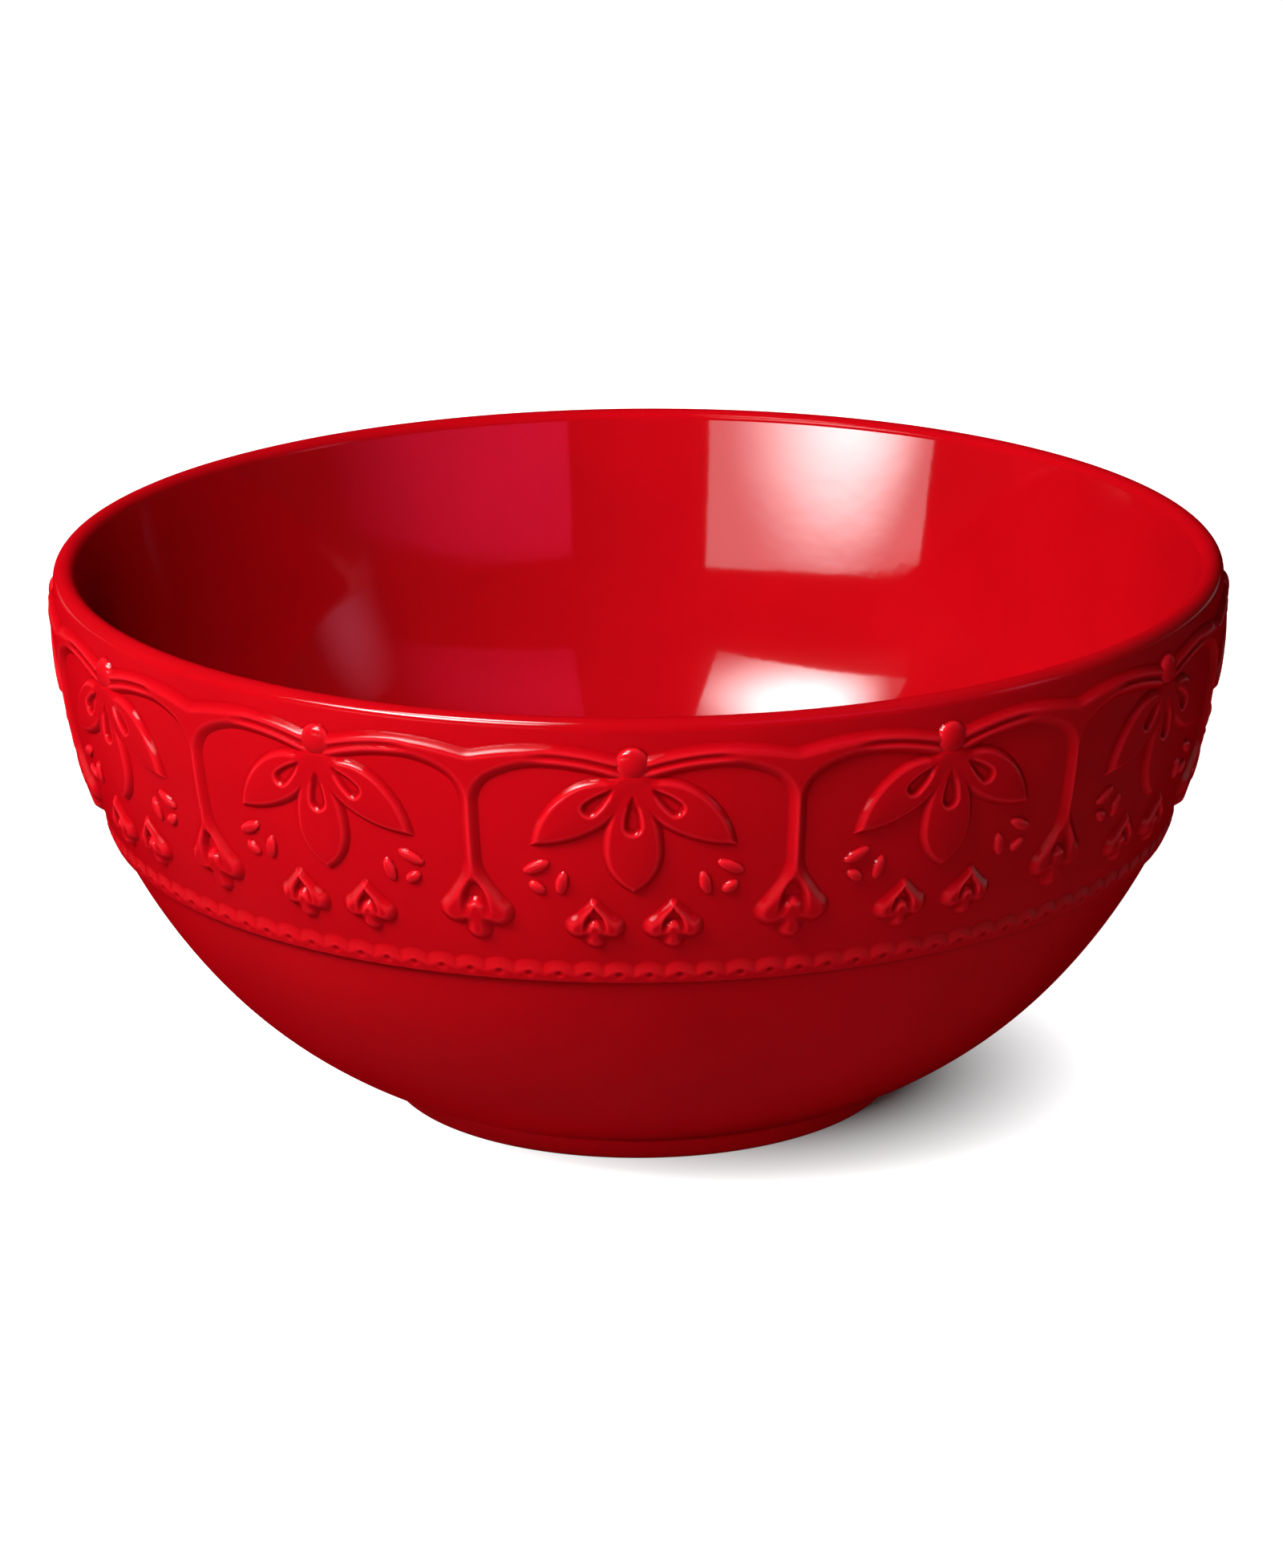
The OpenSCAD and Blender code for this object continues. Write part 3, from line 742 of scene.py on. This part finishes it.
# Crown beads
# Twelve rolled balls of clay, pressed with slip onto the flowers where the arms of two arches meet.
# Each takes a small bright highlight, because the glaze lies smooth and round over it.
bead_r = 3.4
bead_rise = 1.9
bead_z = crown_z - 1.1
bead_reach = 5.0
bead_cell = 0.2
bead_wet = 1


def bead_form(x, z):
    """Distance outside a bead, and its rise."""
    off = np.hypot(x, z - bead_z)
    return off - bead_r, bead_rise * (1 - (np.minimum(off, bead_r) / bead_r) ** 2) ** 0.5


def several(plaques, turns_round):
    """One mesh of many plaques, each at its own turn: points, faces and marks."""
    starts = np.cumsum([0] + [len(place) for place, marks, faces in plaques])
    points = [seated(place, turn) for (place, marks, faces), turn in zip(plaques, turns_round)]
    quads = [faces + start for (place, marks, faces), start in zip(plaques, starts)]
    joined = {}
    for mark in ("bend", "gloss"):
        joined[mark] = np.concatenate([marks[mark] for place, marks, faces in plaques])
    return np.concatenate(points), np.concatenate(quads).tolist(), joined


bead_low = (-bead_reach, bead_z - bead_reach)
bead_high = (bead_reach, bead_z + bead_reach)
bead = plaque(bead_form, bead_low, bead_high, bead_cell, bead_wet)
points, faces, marks = several([bead] * repeats, np.arange(repeats) * pitch)
crown_beads = piece("crown_beads_glazed", points, faces, red_glaze, **marks)
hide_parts("crown_beads")

# Seed grains
# Seventy-two small rolled grains of clay, three on each side of every flower, pressed on by hand.
# Each kind is given by its distance from the flower's axis, depth under the crown, length, width and slope.
seed_kinds = [(19.4, 23.4, 6.0, 2.6, -25), (14.3, 26.9, 5.4, 2.6, -77), (19.2, 28.0, 3.9, 2.5, 34)]
seed_shift = 0.4
seed_share = 0.42
seed_cell = 0.2
seed_wet = 0.5


def seed(kind, side):
    """One grain about its own middle, on one side of a flower, and the turn at which it lies."""
    off, depth, length, width, slope = kind
    z_mid = crown_z - depth - seed_shift
    aim = math.radians(slope) * side

    def form(x, z):
        along = x * math.cos(aim) + (z - z_mid) * math.sin(aim)
        across = (z - z_mid) * math.cos(aim) - x * math.sin(aim)
        off_middle = np.hypot(2 * along / length, 2 * across / width)
        rise = seed_share * width * np.sqrt(np.clip(1 - off_middle ** 2, 0, 1))
        return (off_middle - 1) * width / 2, rise

    turn = side * math.asin(off / math.sqrt(side_r ** 2 - (z_mid - belly_z) ** 2))
    return plaque(form, (-length, z_mid - length), (length, z_mid + length), seed_cell, seed_wet), turn


seeds = [seed(kind, side) for kind in seed_kinds for side in (-1, 1)]
seed_turns = [turn + count * pitch for count in range(repeats) for grain, turn in seeds]
points, faces, marks = several([grain for grain, turn in seeds] * repeats, seed_turns)
seed_grains = piece("seed_grains_glazed", points, faces, red_glaze, **marks)
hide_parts("seed_grains")

# Heart drops
# Twenty-four small trefoils, two under each flower, pressed from one mould like the drops of the stems.
# Each has a hooded groove over its mound and a bud under its lobes, and is luted on with slip.
heart_z = crown_z - 37.5
heart_x = 7.8
heart_tip = (0, heart_z + 5.5, 1.0)
heart_lobe = (3.3, heart_z + 0.2, 2.3)
heart_bud = (0, heart_z - 2.6, 2.1)
heart_hood = {"foot": heart_z - 0.8, "reach": 1.8, "rise": 3.5, "width": 0.4, "edge": 0.6}
heart_rise = 1.45
heart_round = 1.8
heart_wet = 0.3
heart_reach = 8.0
heart_over = 9
heart_cell = 0.25
no_post = 99.0


def heart_form(x, z):
    """Distance outside a heart, and its rise."""
    outline = trefoil(x, z, heart_tip, heart_lobe, heart_bud, np.full_like(x, no_post))
    return outline, heart_rise * (puffed(outline, heart_round) - hood_share * hood(x, z, **heart_hood))


heart_low = (-heart_reach, heart_z - heart_reach)
heart_high = (heart_reach, heart_z + heart_over)
heart = plaque(heart_form, heart_low, heart_high, heart_cell, heart_wet)
heart_turn = math.asin(heart_x / math.sqrt(side_r ** 2 - (heart_z - belly_z) ** 2))
heart_turns = [side * heart_turn + count * pitch for count in range(repeats) for side in (-1, 1)]
points, faces, marks = several([heart] * 2 * repeats, heart_turns)
heart_drops = piece("heart_drops_glazed", points, faces, red_glaze, **marks)
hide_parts("heart_drops")

# Stage
# A white table that fills the view and keeps the bowl's soft shadow. It shows as white to the eye and in the
# glaze, and lights the bowl only as much as a pale table does. Its white is partly a painted glow, weak
# around the foot and full white further out, so the shadow fades out close to the foot.
table_r = 60.0
table_sides = 96
table_gap = 0.0002
table_grey = 0.42
# The painted glow grows from nothing to full white between the span's two distances from this point, a little
# right of the axis
glow_middle = (0.023, 0.003, 0)
glow_span = (0.038, 0.076)
table_points = [(table_r * math.cos(turn), table_r * math.sin(turn), -table_gap)
                for turn in np.linspace(0, 2 * math.pi, table_sides, endpoint=False)]
table_mesh = bpy.data.meshes.new("table")
table_mesh.from_pydata(table_points, [], [list(range(table_sides))])
table = bpy.data.objects.new("table", table_mesh)
bpy.context.collection.objects.link(table)
table_paint = bpy.data.materials.new("table_paint")
table_paint.use_nodes = True
tree = table_paint.node_tree
tree.nodes.remove(tree.nodes["Principled BSDF"])
pale = tree.nodes.new("ShaderNodeBsdfDiffuse")
pale.inputs["Color"].default_value = (table_grey, table_grey, table_grey, 1)
glow = tree.nodes.new("ShaderNodeEmission")
place = tree.nodes.new("ShaderNodeTexCoord")
far = tree.nodes.new("ShaderNodeVectorMath")
far.operation = "DISTANCE"
far.inputs[1].default_value = glow_middle
tree.links.new(place.outputs["Object"], far.inputs[0])
tree.links.new(remap(tree, far.outputs["Value"], glow_span, (0, 1)), glow.inputs["Strength"])
lit = tree.nodes.new("ShaderNodeAddShader")
tree.links.new(pale.outputs["BSDF"], lit.inputs[0])
tree.links.new(glow.outputs["Emission"], lit.inputs[1])
path = tree.nodes.new("ShaderNodeLightPath")
seen = path.outputs["Is Camera Ray"]
for label in ("Is Glossy Ray", "Is Transmission Ray"):
    either = tree.nodes.new("ShaderNodeMath")
    either.operation = "MAXIMUM"
    tree.links.new(seen, either.inputs[0])
    tree.links.new(path.outputs[label], either.inputs[1])
    seen = either.outputs["Value"]
choice = tree.nodes.new("ShaderNodeMixShader")
tree.links.new(seen, choice.inputs["Fac"])
tree.links.new(pale.outputs["BSDF"], choice.inputs[1])
tree.links.new(lit.outputs["Shader"], choice.inputs[2])
tree.links.new(choice.outputs["Shader"], tree.nodes["Material Output"].inputs["Surface"])
table_mesh.materials.append(table_paint)

# Lights
# One large softbox high on the left lights the bowl, with a low fill in front and another behind.
# The other panels only show in the glaze: three bright ones on the left, a dim pair on the right and a
# strip at the side.
room_grey = 0.018
world = bpy.data.worlds.new("room")
world.use_nodes = True
world.node_tree.nodes["Background"].inputs["Color"].default_value = (room_grey, room_grey, room_grey, 1)
bpy.context.scene.world = world
lamp_far = 1.0
panel_far = 0.9
left_turn = -20
right_turn = 10
white = (1.0, 0.98, 0.98)
plum = (1.0, 0.04, 0.2)
pink = (1.0, 0.3, 0.5)


def softbox(name, facing, sides, heights, radiance, colour, far):
    """An upright panel so far off at an angle from the front, between two sides and two heights in metres."""
    lamp = bpy.data.lights.new(name, "AREA")
    lamp.shape = "RECTANGLE"
    lamp.size = sides[1] - sides[0]
    lamp.size_y = heights[1] - heights[0]
    lamp.energy = radiance * math.pi * lamp.size * lamp.size_y
    lamp.color = colour
    obj = bpy.data.objects.new(name, lamp)
    turn = math.radians(facing)
    out = Vector((math.sin(turn), -math.cos(turn), 0))
    side = Vector((math.cos(turn), math.sin(turn), 0))
    obj.location = far * out + sum(sides) / 2 * side + Vector((0, 0, sum(heights) / 2))
    obj.rotation_euler = (-out).to_track_quat("-Z", "Y").to_euler()
    obj.visible_camera = False
    bpy.context.collection.objects.link(obj)
    return obj


def reflector(name, facing, sides, heights, radiance, colour, core, reach, edge, lean=0):
    """A panel that only shows in the glaze, with a core (side, height) and its reach both ways, in metres.

    Past the reach its strength is the edge's share of the core's. A lean in degrees lifts its right end.
    """
    obj = softbox(name, facing, sides, heights, radiance, colour, panel_far)
    obj.visible_diffuse = False
    lamp = obj.data
    lamp.use_nodes = True
    tree = lamp.node_tree
    place = tree.nodes.new("ShaderNodeNewGeometry")
    offset = tree.nodes.new("ShaderNodeVectorMath")
    offset.operation = "SUBTRACT"
    core_across = (core[0] - sides[0]) / lamp.size
    core_up = (core[1] - heights[0]) / lamp.size_y
    offset.inputs[1].default_value = (core_across, core_up, 0)
    tree.links.new(place.outputs["Parametric"], offset.inputs[0])
    scaled = tree.nodes.new("ShaderNodeVectorMath")
    scaled.operation = "MULTIPLY"
    scaled.inputs[1].default_value = (lamp.size / reach[0], lamp.size_y / reach[1], 0)
    tree.links.new(offset.outputs["Vector"], scaled.inputs[0])
    far = tree.nodes.new("ShaderNodeVectorMath")
    far.operation = "LENGTH"
    tree.links.new(scaled.outputs["Vector"], far.inputs[0])
    fall = tree.nodes.new("ShaderNodeMapRange")
    fall.interpolation_type = "SMOOTHSTEP"
    fall.inputs["To Min"].default_value = 1
    fall.inputs["To Max"].default_value = edge
    tree.links.new(far.outputs["Value"], fall.inputs["Value"])
    tree.links.new(fall.outputs["Result"], tree.nodes["Emission"].inputs["Strength"])
    obj.rotation_euler.rotate_axis("Z", math.radians(lean))


key = softbox("key", left_turn, (-1.30, 0.03), (0.76, 1.44), 30.5, white, lamp_far)
key.visible_glossy = False
fill = softbox("fill", 12, (-0.75, 0.3), (0.02, 0.22), 3.9, white, lamp_far)
fill.visible_glossy = False
back = softbox("back", 165, (-0.8, 0.8), (0.02, 0.26), 5, white, lamp_far)
back.visible_glossy = False
reflector("left_low", left_turn, (-0.98, 0.07), (0.125, 0.325), 26, white,
          core=(-0.47, 0.215), reach=(0.52, 0.12), edge=0.12, lean=2.3)
reflector("left_high", left_turn, (-1.18, 0.03), (0.77, 1.49), 36, white,
          core=(-0.50, 1.0), reach=(0.68, 0.37), edge=0.03, lean=-7)
reflector("right_low", right_turn, (0.10, 2.00), (0.12, 0.325), 2.5, plum,
          core=(0.25, 0.24), reach=(1.6, 0.3), edge=0)
reflector("right_high", right_turn, (0.14, 1.80), (0.70, 1.50), 1.6, plum,
          core=(0.30, 0.95), reach=(1.4, 0.6), edge=0)
reflector("right_strip", 76, (-0.2, 0.2), (0.24, 0.60), 1.5, pink,
          core=(0, 0.36), reach=(0.19, 0.34), edge=0)
reflector("left_top", left_turn, (-0.90, 0.05), (1.56, 2.9), 34, white,
          core=(-0.5, 1.9), reach=(0.6, 1.0), edge=0)

# Camera
# A long lens a little over a metre from the bowl, looking down at it from the front.
# It is turned and rolled by a fraction of a degree to match the photo.
view_turn = Matrix.Rotation(math.radians(0.644), 3, "Z")
eye_place = view_turn @ Vector((0, -1.20885, 0.45597))
aim_place = view_turn @ Vector((0.00037, 0, 0.06665))
view_roll = Matrix.Rotation(math.radians(-0.425), 3, "Z")
camera_data = bpy.data.cameras.new("camera")
camera_data.sensor_fit = "VERTICAL"
camera_data.sensor_height = 36
camera_data.lens = 132.21
camera = bpy.data.objects.new("camera", camera_data)
camera.location = eye_place
look = (aim_place - eye_place).to_track_quat("-Z", "Y").to_matrix() @ view_roll
camera.rotation_euler = look.to_euler()
bpy.context.collection.objects.link(camera)
bpy.context.scene.camera = camera
bpy.context.scene.view_settings.view_transform = "Standard"
